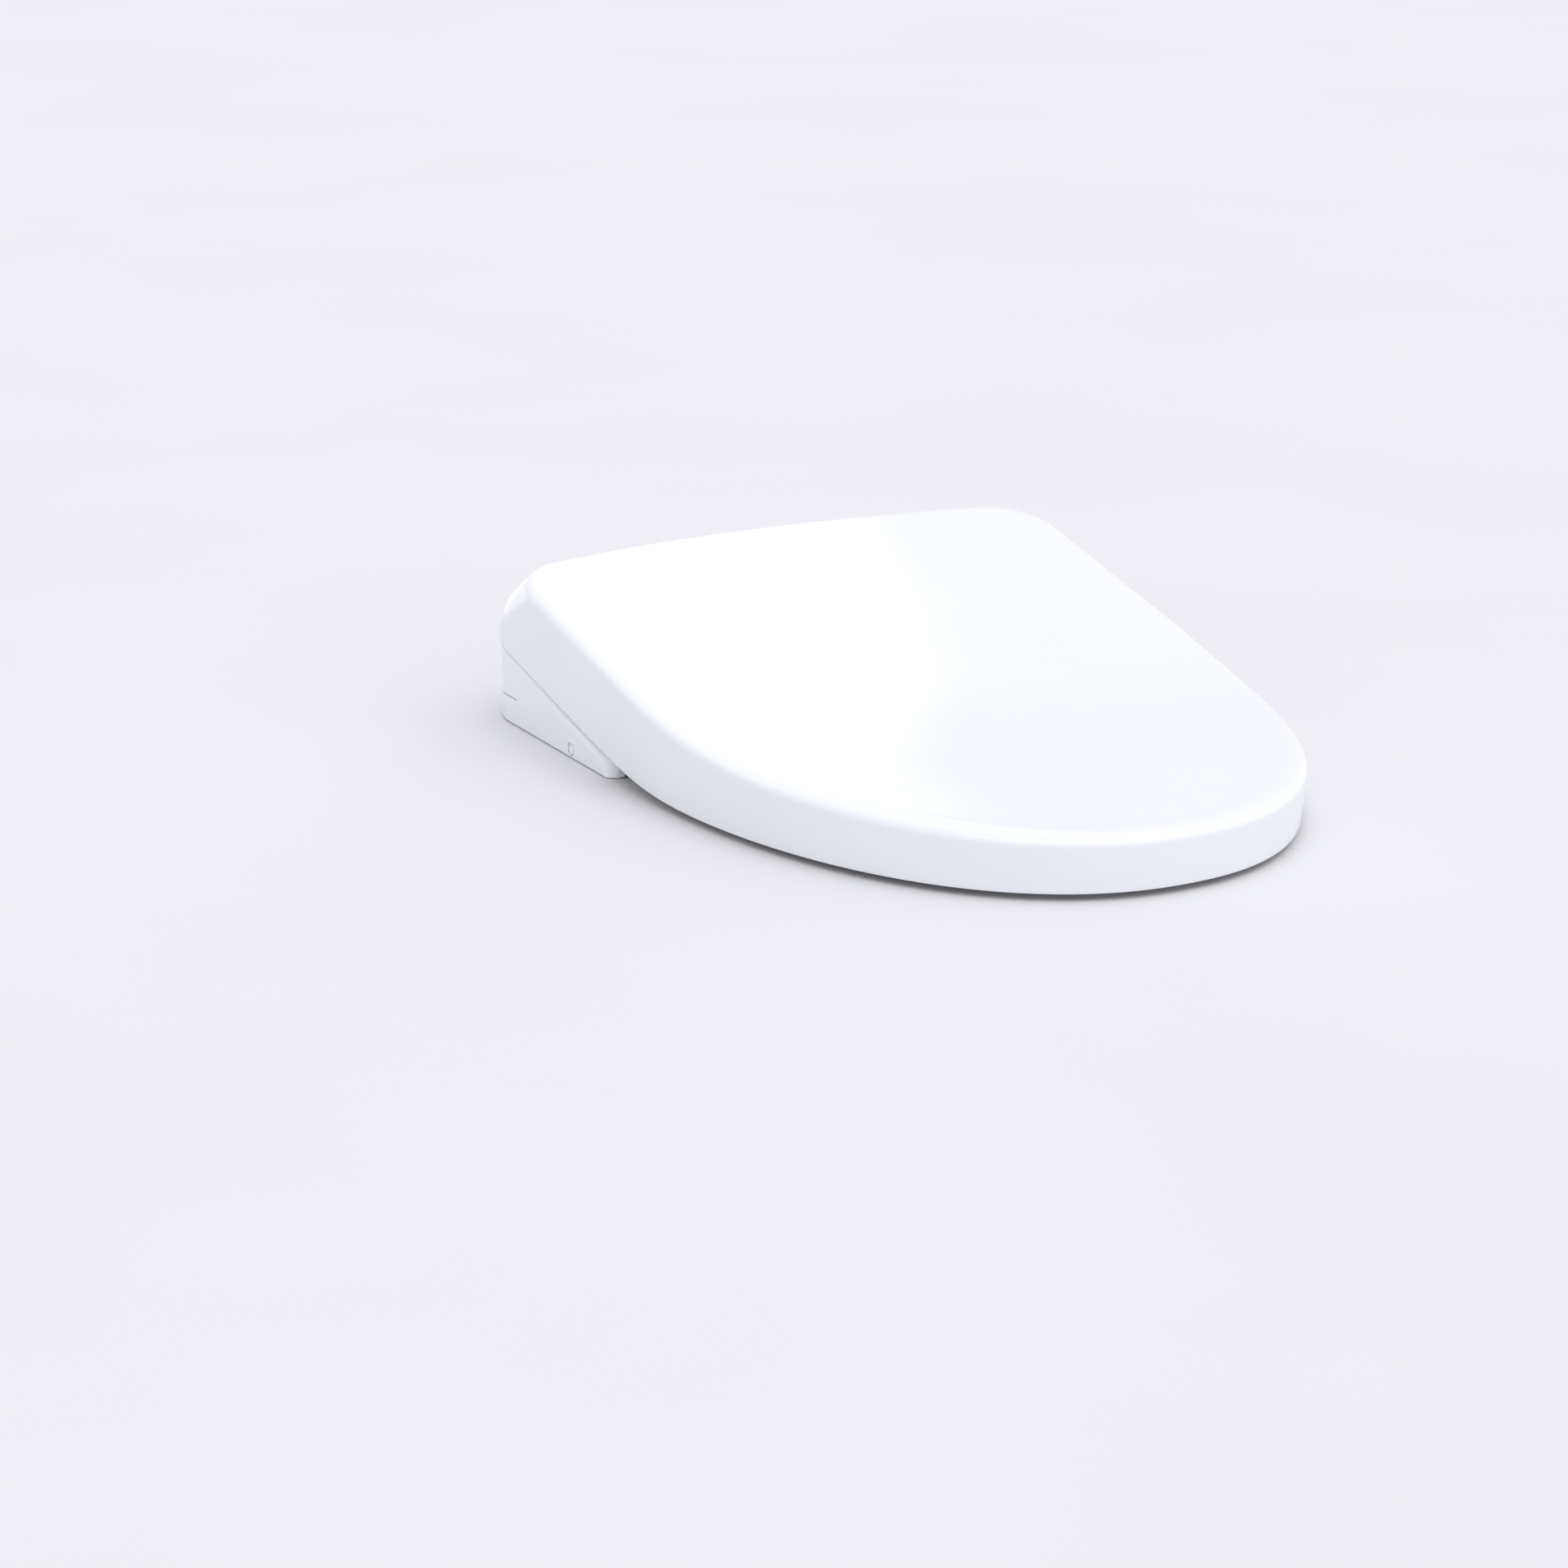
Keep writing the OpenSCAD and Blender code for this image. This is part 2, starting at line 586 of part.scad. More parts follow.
function tube_rings(run, normal) = let(n = len(run) - 1)
    [for (k = [0:n]) tube_ring(run[k], unit(run[min(k + 1, n)] - run[max(k - 1, 0)]), normal)];
module water_tubes() color("lightblue") for (k = [0:len(tube_runs) - 1]) let(run = tube_runs[k])
    capped_skin(tube_rings(run, tube_planes[k]), run[0], run[len(run) - 1]);

// ---------------------------------------------------------------- spray wand

rack_from = wand_back + 3;
rack_to = wand_back + wand_l;

module wand_tube() color("whitesmoke") wand_line() difference() {
    rod_y(wand_back + 16, wand_back + wand_l, wand_r, 0, 0);
    rod_y(wand_back + 15, wand_back + wand_l - 3, wand_r - 2, 0, 0);
}

module wand_tip() color("white") wand_line() difference() {
    union() {
        rod_y(wand_back + wand_r, wand_back + 16, wand_r, 0, 0);
        translate([0, wand_back + wand_r, 0]) sphere(wand_r);
        rod_y(wand_back + 16, wand_back + 24, wand_r - 2.1, 0, 0);
    }
    for (x = [-1.8, 1.8], y = [9, 13]) translate([x, wand_back + y, 2]) cylinder(h = 9, r = 0.6);
}

// Trapezoid teeth with plenty of backlash; the pitch line is y = 0 and teeth point to +y.
module tooth(thick) {
    polygon([[-thick / 2 - 0.45, -1.2], [-thick / 2 + 0.28, 0.8], [thick / 2 - 0.28, 0.8],
        [thick / 2 + 0.45, -1.2]]);
}

module wand_rack() color("white") wand_line() translate([0, 0, -2]) {
    translate([wand_r + 0.02, rack_from, 0]) cube([rack_x - wand_r - 1, rack_to - rack_from, 4]);
    for (y = [pinion_back - PI * floor((pinion_back - rack_from - 1.3) / PI):PI:rack_to - 1.2])
        translate([rack_x, y, 0]) rotate(-90) linear_extrude(4) tooth(PI / 2 - 0.3);
}

module wand_pinion() color("white")
    wand_line() translate([rack_x + pinion_r, pinion_back, -2.5]) difference() {
        union() {
            cylinder(h = 5, r = pinion_r - 1);
            for (k = [0:pinion_teeth - 1]) rotate(180 + (k + 0.5) * 360 / pinion_teeth)
                translate([pinion_r, 0, 0]) rotate(-90) linear_extrude(5) tooth(PI / 2 - 0.3);
        }
        translate([0, 0, -1]) cylinder(h = 7, r = 1.5 + run_gap);
    }

module wand_motor() color("dimgray") wand_line()
    translate([rack_x + pinion_r, pinion_back, 0]) {
        translate([0, 0, -4]) cylinder(h = 8, r = 1.5);
        translate([0, 0, -13]) cylinder(h = 9, r = 9);
    }

module wand_guide() color("gainsboro") wand_line() difference() {
    union() {
        rod_y(8.6, 19, 9, 0, 0);
        block([-9, 8.6, -10.5], [6.4, 122, -7]);
        block([-9, 8.6, -8], [-7, 122, 5]);
        rod_y(118, 122, 8.8, 0, 0);
    }
    rod_y(6, 116, wand_r + run_gap, 0, 0);
    block([5, 0, -2.6], [20, 116, 2.6]);
}

module gate_leaf(x, half) {
    block([x - half, gate_y - gate_t, 8], [x + half, gate_y, 36.6]);
    rod_x(x - half, x + half, 1.6, gate_pin[0], gate_pin[1]);
}

module wand_gate() color(white) {
    gate_leaf(0, 13);
    rod_x(-17, 17, gate_pin_r, gate_pin[0], gate_pin[1]);
}

// ---------------------------------------------------------------- dryer

module blower_housing() color("gainsboro") translate([fan_at.x, fan_at.y, fan_z]) difference() {
    union() {
        cylinder(h = 26, r = 31);
        block([-22, -46, 2], [22, 0, 20]);
    }
    translate([0, 0, 2]) cylinder(h = 22, r = 28.5);
    translate([0, 0, 20]) cylinder(h = 10, r = 16);
    block([-20, -47, 4], [20, 0, 18]);
}

fan_blades = 11;
module fan_impeller() color("dimgray") translate([fan_at.x, fan_at.y, fan_z + 3.5]) difference() {
    union() {
        cylinder(h = 1.5, r = 26);
        cylinder(h = 14, r = 6);
        for (k = [0:fan_blades - 1]) rotate(k * 360 / fan_blades) translate([15, -0.8, 0])
            rotate(24) cube([11, 1.6, 15]);
    }
    translate([0, 0, -1]) cylinder(h = 20, r = 2 + run_gap);
}

module fan_motor() color("silver") translate([fan_at.x, fan_at.y, fan_z]) {
    translate([0, 0, 5.5]) cylinder(h = 21, r = 2);
    translate([0, 0, 26.4]) cylinder(h = 20, r = 14);
    for (a = [0:90:270]) rotate(a) block([12, -3, 26.4], [24, 3, 28.4]);
}

duct_y = [front_y + wall + 0.3, fan_at.y - 46.2];
module dryer_duct() color("gainsboro") difference() {
    block([dryer_x - 19, duct_y[0], 10], [dryer_x + 22, duct_y[1], 32]);
    block([dryer_x - 17, 0, 12], [dryer_x + 20, far, 30]);
}

module dryer_heater() color("goldenrod") for (k = [0:5])
    block([dryer_x - 16.9 + k * 6.6, 126, 12], [dryer_x - 15.3 + k * 6.6, 140, 30]);

module dryer_flap() color(white) {
    gate_leaf(dryer_x, 20);
    rod_x(dryer_x - 24, dryer_x + 24, gate_pin_r, gate_pin[0], gate_pin[1]);
}

// ---------------------------------------------------------------- deodorizer

cart_x = [128, 188];
cart_y = [150, 196];
cart_z = [8, 24];
module deodorizer_cartridge() color("whitesmoke") difference() {
    union() {
        block([cart_x[0], cart_y[0], cart_z[0]], [cart_x[1], cart_y[1], cart_z[1]]);
        block([cart_x[1], cart_y[0], cart_z[0]],
            [half_w - cover_inset, cart_y[1], cart_z[1]]);
    }
    for (k = [0:4]) block([cart_x[0] + 5 + k * 8, cart_y[0] + 5, 12],
        [cart_x[0] + 10 + k * 8, cart_y[1] - 5, 30]);
    block([cart_x[1] - 3, 168, 12], [half_w, 178, 16]);
}

dfan_at = [173, 18];
module deodorizer_case() color("gainsboro") difference() {
    block([108, dfan_at[0] - 13.5, dfan_at[1] - 8.4], [127.6, dfan_at[0] + 13.5, 45]);
    rod_x(110, 128, 12, dfan_at[0], 30);
    rod_x(107, 111, 9, dfan_at[0], 30);
}

module deodorizer_fan() color("dimgray") difference() {
    union() {
        rod_x(113, 121, 4, dfan_at[0], 30);
        for (k = [0:6]) translate([117, dfan_at[0], 30]) rotate([k * 360 / 7, 0, 0])
            rotate([0, 0, 28]) block([-2.6, -0.7, 3.4], [2.6, 0.7, 11.2]);
    }
    rod_x(112, 122, 1.5 + run_gap, dfan_at[0], 30);
}

// ---------------------------------------------------------------- electronics

board_low = [30, 150];
board_high = [126, 214];
board_z = 66;
module circuit_board() color("seagreen")
    block([board_low.x, board_low.y, board_z], [board_high.x, board_high.y, board_z + 1.6]);

module board_parts() color("dimgray") translate([0, 0, board_z + 1.6]) {
    block([40, 160, 0], [56, 176, 2]);
    for (k = [0:2]) block([64 + k * 18, 158, 0], [76 + k * 18, 174, 9]);
    for (k = [0:3]) translate([44 + k * 14, 200, 0]) cylinder(h = 8, r = 4);
    for (k = [0:2]) block([98, 180 + k * 10, 0], [112, 188 + k * 10, 6]);
}

module power_supply() color("gray") {
    rounded_block([96, 200, 12], [128, 232, 34], 3);
    rounded_block([100, 204, 34], [124, 228, 38], 3);
}

module cord_gland() color("dimgray") difference() {
    union() {
        rod_y(238, 258, gland_r, cord_x, cord_z);
        rod_y(238, 242, gland_r + 3, cord_x, cord_z);
    }
    rod_y(250, 260, cord_hole_r, cord_x, cord_z);
}

module receiver_window() color("black") {
    rod_y(132, 140, 7, 92, 60);
    rod_y(141.5, 143.5, 8.5, 92, 60);
    rod_y(138, 142, 5, 92, 60);
}

// ---------------------------------------------------------------- release

module release_button() color(white)
    rod_x(-half_w + cover_inset - 0.3, -half_w + cover_inset + 5, 3.2, button_at[0], button_at[1]);

module latch_bar() color("gainsboro")
    rod_x(-half_w + cover_inset + 5, -plate_high.x - 12, 2.4, button_at[0], button_at[1]);

base_case();
top_cover();
side_cover(-1);  // side_cover_left
side_cover(1);  // side_cover_right
rear_cover();
front_panel();
mounting_plate();
mount_bushes();
base_pads();
case_screws();
damper(-1);  // seat_damper
damper(1);  // lid_damper
water_inlet();
drain_plug();
filter_socket();
solenoid_valve();
heater_tank();
flow_pump();
water_tubes();
wand_guide();
wand_motor();
wand_pinion();
wand_tube();
wand_tip();
wand_rack();
wand_gate();
blower_housing();
fan_impeller();
fan_motor();
dryer_duct();
dryer_heater();
dryer_flap();
deodorizer_case();
deodorizer_fan();
deodorizer_cartridge();
circuit_board();
board_parts();
power_supply();
cord_gland();
receiver_window();
release_button();
latch_bar();
seat_top();
seat_bottom();
seat_heater();
seat_bumpers();
seat_hinge(-1);  // seat_hinge_left
seat_hinge(1);  // seat_hinge_right
seat_shaft();
lid_shell();
lid_bumpers();
lid_hinge(-1);  // lid_hinge_left
lid_hinge(1);  // lid_hinge_right
lid_shaft();
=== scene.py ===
import json
import math

import bmesh
import bpy
import numpy as np
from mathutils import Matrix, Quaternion, Vector


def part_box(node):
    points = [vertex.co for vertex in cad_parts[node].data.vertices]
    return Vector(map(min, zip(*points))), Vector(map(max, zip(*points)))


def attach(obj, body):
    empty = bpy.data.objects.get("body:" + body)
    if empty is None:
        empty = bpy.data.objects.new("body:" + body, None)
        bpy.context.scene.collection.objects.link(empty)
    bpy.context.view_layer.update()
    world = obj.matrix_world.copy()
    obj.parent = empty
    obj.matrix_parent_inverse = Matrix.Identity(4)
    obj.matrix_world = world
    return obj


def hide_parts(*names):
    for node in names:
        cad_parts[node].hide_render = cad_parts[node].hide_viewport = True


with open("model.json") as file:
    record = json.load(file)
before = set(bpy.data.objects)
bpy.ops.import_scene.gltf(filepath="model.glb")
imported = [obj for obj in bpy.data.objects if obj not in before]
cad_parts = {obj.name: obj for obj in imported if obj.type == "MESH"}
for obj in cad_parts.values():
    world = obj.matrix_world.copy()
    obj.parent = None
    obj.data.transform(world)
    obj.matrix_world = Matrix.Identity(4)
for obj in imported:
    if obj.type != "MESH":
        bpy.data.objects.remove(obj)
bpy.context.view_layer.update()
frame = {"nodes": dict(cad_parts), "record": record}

MM = 0.001

# ---------------------------------------------------------------- driving sizes, in millimetres

LID_LOW, LID_HIGH = (np.array(corner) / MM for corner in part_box("lid_shell"))
HALF_W = (LID_HIGH[0] - LID_LOW[0]) / 2
HALF_L = (LID_HIGH[1] - LID_LOW[1]) / 2
REAR_BOW = 5.5                  # how far the rear edge bows back in the middle
CORNER_R = 40.0
NOSE_L = 320.0                  # length of the rounded front in plan
NOSE_POWER = 2.17
NOSE_END = NOSE_L - HALF_L
RIM_FRONT_Z = 4.35              # height of the lid's lower edge at the front
SHOULDER_FRONT_Z = 32.96
SHOULDER_SLOPE = 0.029
RIM_INSET = 2.6                 # the skirt leans in by this much from shoulder to rim
RIM_REAR = HALF_L + RIM_INSET
EDGE_DROP = 1.6                 # the rounded top edge starts this far below the shoulder
LID_WALL = 3.0
LIP = 0.7                       # rounding of the lid's lower edge
REAR_LEAN = 43.0                # how far the rear face leans forward
CROWN = 3.7
CROWN_START = 120.0
RISE = 3.9                      # height of the rounded edge above the shoulder

COVER_INSET = RIM_INSET + 1.0
COVER_GAP = 1.5                 # between a side cover and the lid
COVER_FOOT = 0.8
COVER_X = 150.0                 # inner end of a cover at the rear
COVER_WALL = 3.0
BAY_X = 179.0                   # inner face of a cover along its side
ARM_SLOT_X = 160.2
ARM_SLOT_Z = 30.5
SLIT_Y = 209.0
SLIT_X = 186.0
SLIT_Z = (17.6, 18.4)
SLIT_DEPTH = 1.6
TAPER_Z = 40.0
TAPER = 11.5                    # the rear leans forward by this much towards the foot

# Half width, middle, front, rear, front power and rear power of the seat's two ovals
SEAT_OUTER = (176.0, 40, -254, 130, 2.15, 5)
SEAT_INNER = (107, -40, -195, 85, 2.2, 2.6)
SEAT_WALL = 3.0
PLATE_T = 3.2


def softplus(t):
    return np.logaddexp(0.0, t)


def smooth(t):
    c = np.clip(t, 0.0, 1.0)
    return c * c * (3 - 2 * c)


def upswing(distance, slope, softness):
    """Nothing in front of the start, then a soft turn into a straight slope."""
    return slope * softness * softplus(distance / softness)


def rim_z(y):
    return RIM_FRONT_Z + upswing(y + HALF_L - 303, 0.236, 25)


def shoulder_z(y):
    along = y + HALF_L
    return SHOULDER_FRONT_Z + SHOULDER_SLOPE * along + upswing(along - 223, 0.207, 30)


def nose_width(y):
    t = np.clip(1 - (y + HALF_L) / NOSE_L, 0.0, 1.0)
    return HALF_W * np.power(1 - np.power(t, NOSE_POWER), 1 / NOSE_POWER)


def lid_crown(x, y):
    w = np.maximum(1.0, nose_width(y))
    side = np.clip(1 - (x / w) ** 2, 0.0, 1.0)
    return CROWN * side * np.clip((y + HALF_L) / CROWN_START, 0.0, 1.0)


def rear_corner(inset, rear):
    """Radius and centre of a rear corner's arc, and the angle left over where the bow takes on."""
    r = CORNER_R - inset
    turn = math.atan(2 * REAR_BOW / (HALF_W - CORNER_R))
    return r, HALF_W - CORNER_R, rear - inset - REAR_BOW - r * math.cos(turn), turn


def rear_bow(x, inset, rear):
    """Points of the bowed rear edge at the given x."""
    r, cx, _, turn = rear_corner(inset, rear)
    bow = math.tan(turn) / (2 * (cx + r * math.sin(turn)))
    return np.stack([x, rear - inset - bow * x ** 2], 1)


def outline(inset, rear, nose=64, side=14, corner=18, back=22):
    """Plan ring in mm, counter-clockwise from the tip; the rear corners run smoothly into the bow."""
    r, cx, cy, turn = rear_corner(inset, rear)
    a = np.linspace(0, math.pi / 2, nose, endpoint=False)
    front = np.stack([(HALF_W - inset) * np.sin(a) ** (2 / NOSE_POWER),
                      -HALF_L + inset + (NOSE_L - inset) * (1 - np.cos(a) ** (2 / NOSE_POWER))], 1)
    s = np.linspace(NOSE_END, cy, side, endpoint=False)
    flank = np.stack([np.full(side, HALF_W - inset), s], 1)
    a = np.linspace(0, math.pi / 2 - turn, corner)
    bend = np.stack([cx + r * np.cos(a), cy + r * np.sin(a)], 1)
    rear_edge = rear_bow(np.linspace(bend[-1, 0], 0, back + 1)[1:], inset, rear)
    half = np.concatenate([front, flank, bend, rear_edge])
    return np.concatenate([half, half[-2:0:-1] * [-1, 1]])


# ---------------------------------------------------------------- mesh helpers

def make_object(name, vertices, faces):
    mesh = bpy.data.meshes.new(name)
    mesh.from_pydata([tuple(float(c) * MM for c in v) for v in vertices], [], faces)
    mesh.validate()
    obj = bpy.data.objects.new(name, mesh)
    bpy.context.scene.collection.objects.link(obj)
    work = bmesh.new()
    work.from_mesh(mesh)
    bmesh.ops.recalc_face_normals(work, faces=work.faces)
    work.to_mesh(mesh)
    work.free()
    shade(obj)
    return obj


def shade(obj, angle=None):
    mesh = obj.data
    mesh.polygons.foreach_set("use_smooth", [True] * len(mesh.polygons))
    if angle is not None:
        mesh.set_sharp_from_angle(angle=math.radians(angle))


def ring_faces(rings, count, closed=False):
    """Quads between successive rings of count points."""
    faces = []
    for i in range(rings - (0 if closed else 1)):
        p = (i + 1) % rings
        for j in range(count):
            k = (j + 1) % count
            faces.append((i * count + j, i * count + k, p * count + k, p * count + j))
    return faces


def capped(rings, first, last):
    """Vertices and faces of a skin that runs over rings from one pole to the other."""
    n, m = len(rings[0]), len(rings)
    vertices = np.concatenate(list(rings) + [np.array([first, last])])
    faces = ring_faces(m, n)
    faces += [(n * m, (j + 1) % n, j) for j in range(n)]
    faces += [(n * m + 1, (m - 1) * n + j, (m - 1) * n + (j + 1) % n) for j in range(n)]
    return vertices, faces


def apply_modifiers(obj):
    graph = bpy.context.evaluated_depsgraph_get()
    mesh = bpy.data.meshes.new_from_object(obj.evaluated_get(graph))
    old = obj.data
    obj.modifiers.clear()
    obj.data = mesh
    bpy.data.meshes.remove(old)
    return obj


def softened(node, width):
    """A copy of a CAD node with merged flat faces and rounded edges, in the node's place."""
    mesh = frame["nodes"][node].data.copy()
    obj = bpy.data.objects.new(node + "_finished", mesh)
    bpy.context.scene.collection.objects.link(obj)
    work = bmesh.new()
    work.from_mesh(mesh)
    bmesh.ops.remove_doubles(work, verts=work.verts, dist=2e-6)
    bmesh.ops.dissolve_limit(work, angle_limit=math.radians(1.0), verts=work.verts, edges=work.edges,
                             delimit={"NORMAL"})
    bmesh.ops.recalc_face_normals(work, faces=work.faces)
    work.to_mesh(mesh)
    work.free()
    shade(obj, 40)
    bevel = obj.modifiers.new("edges", "BEVEL")
    bevel.width = width * MM
    bevel.segments = 2
    bevel.limit_method = "ANGLE"
    bevel.angle_limit = math.radians(35)
    bevel.use_clamp_overlap = True
    obj.modifiers.new("flat_faces", "WEIGHTED_NORMAL").keep_sharp = True
    apply_modifiers(obj)
    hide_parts(node)
    return obj


# ---------------------------------------------------------------- materials

def base_material(name, colour, roughness, metallic=0.0, coat=0.0, specular=0.5):
    material = bpy.data.materials.new(name)
    material.use_nodes = True
    shader = material.node_tree.nodes["Principled BSDF"]
    shader.inputs["Base Color"].default_value = (*colour, 1)
    shader.inputs["Roughness"].default_value = roughness
    shader.inputs["Metallic"].default_value = metallic
    shader.inputs["Coat Weight"].default_value = coat
    shader.inputs["Coat Roughness"].default_value = 0.11
    shader.inputs["Specular IOR Level"].default_value = specular
    return material, material.node_tree, shader


def noise(tree, scale, detail=3.0, stretch=None):
    place = tree.nodes.new("ShaderNodeTexCoord")
    texture = tree.nodes.new("ShaderNodeTexNoise")
    texture.inputs["Scale"].default_value = scale
    texture.inputs["Detail"].default_value = detail
    source = place.outputs["Object"]
    if stretch:
        mapping = tree.nodes.new("ShaderNodeMapping")
        mapping.inputs["Scale"].default_value = stretch
        tree.links.new(source, mapping.inputs["Vector"])
        source = mapping.outputs["Vector"]
    tree.links.new(source, texture.inputs["Vector"])
    return texture.outputs["Fac"]


def remap(tree, value, low, high):
    node = tree.nodes.new("ShaderNodeMapRange")
    node.inputs["To Min"].default_value = low
    node.inputs["To Max"].default_value = high
    tree.links.new(value, node.inputs["Value"])
    return node.outputs["Result"]


def tint(tree, shader, value, dark, light):
    ramp = tree.nodes.new("ShaderNodeValToRGB")
    ramp.color_ramp.elements[0].position = 0.35
    ramp.color_ramp.elements[1].position = 0.65
    ramp.color_ramp.elements[0].color = (*dark, 1)
    ramp.color_ramp.elements[1].color = (*light, 1)
    tree.links.new(value, ramp.inputs["Fac"])
    tree.links.new(ramp.outputs["Color"], shader.inputs["Base Color"])


def bumps(tree, shader, value, distance, strength=0.3):
    bump = tree.nodes.new("ShaderNodeBump")
    bump.inputs["Strength"].default_value = strength
    bump.inputs["Distance"].default_value = distance
    tree.links.new(value, bump.inputs["Height"])
    tree.links.new(bump.outputs["Normal"], shader.inputs["Normal"])


def moulded(name, colour, roughness, grain=900.0, depth=0.00004, coat=0.0, spread=0.03, shift=0.012):
    """Moulded plastic: slight mottling of colour, uneven gloss and a fine surface grain."""
    material, tree, shader = base_material(name, colour, roughness, coat=coat)
    cloud = noise(tree, 14.0, 4.0)
    dark = [max(0.0, c - shift) for c in colour]
    light = [min(1.0, c + shift / 2) for c in colour]
    tint(tree, shader, cloud, dark, light)
    tree.links.new(remap(tree, noise(tree, 45.0, 5.0), roughness - spread, roughness + spread),
                   shader.inputs["Roughness"])
    bumps(tree, shader, noise(tree, grain, 2.0), depth)
    return material


def metal(name, colour, roughness, stretch):
    """Machined metal: fine turning marks and a slight change of tone."""
    material, tree, shader = base_material(name, colour, roughness, metallic=1.0)
    lines = noise(tree, 260.0, 6.0, stretch)
    tint(tree, shader, lines, [c * 0.86 for c in colour], colour)
    tree.links.new(remap(tree, lines, roughness * 0.7, roughness * 1.35), shader.inputs["Roughness"])
    bumps(tree, shader, lines, 0.00002, 0.4)
    return material


WHITE = (0.86, 0.87, 0.89)
MATERIALS = {
    "white_gloss": moulded("gloss_white_plastic", WHITE, 0.17, 420.0, 0.000015, 0.5, 0.03, 0.008),
    "white_satin": moulded("satin_white_plastic", (0.80, 0.81, 0.83), 0.38, 1400.0, 0.00003),
    "grey_plastic": moulded("grey_plastic", (0.55, 0.56, 0.58), 0.46, 1600.0, 0.00005),
    "dark_plastic": moulded("dark_plastic", (0.045, 0.046, 0.05), 0.42, 1600.0, 0.00005),
    "rubber": moulded("soft_rubber", (0.60, 0.61, 0.62), 0.72, 2200.0, 0.00007),
    "steel": metal("turned_steel", (0.62, 0.63, 0.65), 0.28, (18.0, 1.0, 1.0)),
    "brass_nickel": metal("nickelled_brass", (0.74, 0.70, 0.60), 0.24, (1.0, 22.0, 1.0)),
    "tube": moulded("silicone_tube", (0.70, 0.75, 0.80), 0.33, 800.0, 0.00003, 0.2),
    "wand_white": moulded("wand_plastic", (0.84, 0.85, 0.87), 0.20, 600.0, 0.00002, 0.4),
    "heater_foil": metal("heater_foil", (0.78, 0.60, 0.32), 0.34, (1.0, 14.0, 1.0)),
    "board_green": moulded("lacquered_board", (0.03, 0.20, 0.09), 0.30, 1200.0, 0.00004, 0.5),
}
SLOT_OF = {part["node"]: part["material_slot"] for part in frame["record"]["subparts"]}
BODY_OF = {node: body for body, nodes in frame["record"]["behaviour"]["bodies"].items() for node in nodes}


def finish_piece(obj, node):
    """Gives a piece the node's material, slot and body."""
    obj.data.materials.clear()
    obj.data.materials.append(MATERIALS[SLOT_OF[node]])
    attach(obj, BODY_OF[node])
    return obj


# ---------------------------------------------------------------- lid

def skirt_line(share, inset):
    """Ring of the lid's skirt; share is 0 at the lower edge and 1 at the shoulder."""
    rear = RIM_REAR - REAR_LEAN * share ** 1.8 - RIM_INSET * share
    ring = outline(inset + RIM_INSET * (1 - share), rear)
    x, y = ring[:, 0], ring[:, 1]
    z = rim_z(y) * (1 - share) + (shoulder_z(y) + lid_crown(x, y)) * share
    return np.stack([x, y, z], 1)


def edge_width(y):
    """Plan width of the rounding between skirt and top face, wider towards the front."""
    return 8.0 + 11.0 * smooth((60 - y) / 300)


def top_line(turn, drop, inset=0.0):
    """Ring of the rounded top edge; turn runs from 0 on the skirt to 90 on the top face."""
    a = math.radians(turn)
    ring = outline(inset, HALF_L - REAR_LEAN)
    step = np.roll(ring, -1, 0) - np.roll(ring, 1, 0)
    normal = np.stack([step[:, 1], -step[:, 0]], 1)
    normal /= np.linalg.norm(normal, axis=1)[:, None]
    full = ring - normal * edge_width(ring[:, 1])[:, None]
    moved = ring + (full - ring) * (1 - math.cos(a)) ** 1.15
    low = shoulder_z(ring[:, 1]) + lid_crown(ring[:, 0], ring[:, 1]) - EDGE_DROP
    high = shoulder_z(full[:, 1]) + lid_crown(full[:, 0], full[:, 1]) + RISE
    z = low + (high - low) * math.sin(a) ** 0.9
    return np.stack([moved[:, 0], moved[:, 1], z - drop], 1)


def top_face(share, drop):
    """Ring of the top face, shrunk towards the middle."""
    ring = top_line(90, 0)
    x, y = ring[:, 0] * share, ring[:, 1] * share
    return np.stack([x, y, shoulder_z(y) + lid_crown(x, y) + RISE - drop], 1)


def skirt_part(share, inset):
    """Skirt ring that stops short of the shoulder, where the rounded edge starts."""
    ring = skirt_line(share, inset)
    ring[:, 2] -= EDGE_DROP * share
    return ring


def lip_ring(inset, up):
    ring = skirt_line(0.0, inset)
    ring[:, 2] += up
    return ring


def build_lid():
    """One closed skin: from the top's middle out and down, round the lip, and back up inside."""
    shares = [0.04, 0.1, 0.18, 0.28, 0.4, 0.52, 0.64, 0.76, 0.86, 0.94, 0.985]
    outer = [top_face(s, 0) for s in shares]
    outer += [top_line(t, 0) for t in range(90, 0, -6)]
    outer += [skirt_part(t, 0) for t in np.linspace(1, 0.03, 16)]
    lip = [(0.05, 0.45), (0.3, 0.12), (LIP, 0.0)]
    outer += [lip_ring(inset, up) for inset, up in lip]
    inner = [lip_ring(LID_WALL - inset, up) for inset, up in reversed(lip)]
    inner += [skirt_part(t, LID_WALL) for t in np.linspace(0.04, 0.94, 10)]
    inner += [top_line(t, LID_WALL, LID_WALL - 0.6) for t in (18, 36, 54, 72, 90)]
    inner += [top_face(s, LID_WALL) for s in [0.96] + shares[-3::-1]]
    peak = float(shoulder_z(0.0) + CROWN + RISE)
    vertices, faces = capped(outer + inner, (0, 0, peak), (0, 0, peak - LID_WALL))
    lid = make_object("lid_cover", vertices, faces)
    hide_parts("lid_shell")
    return finish_piece(lid, "lid_shell")


build_lid()

# ---------------------------------------------------------------- side covers

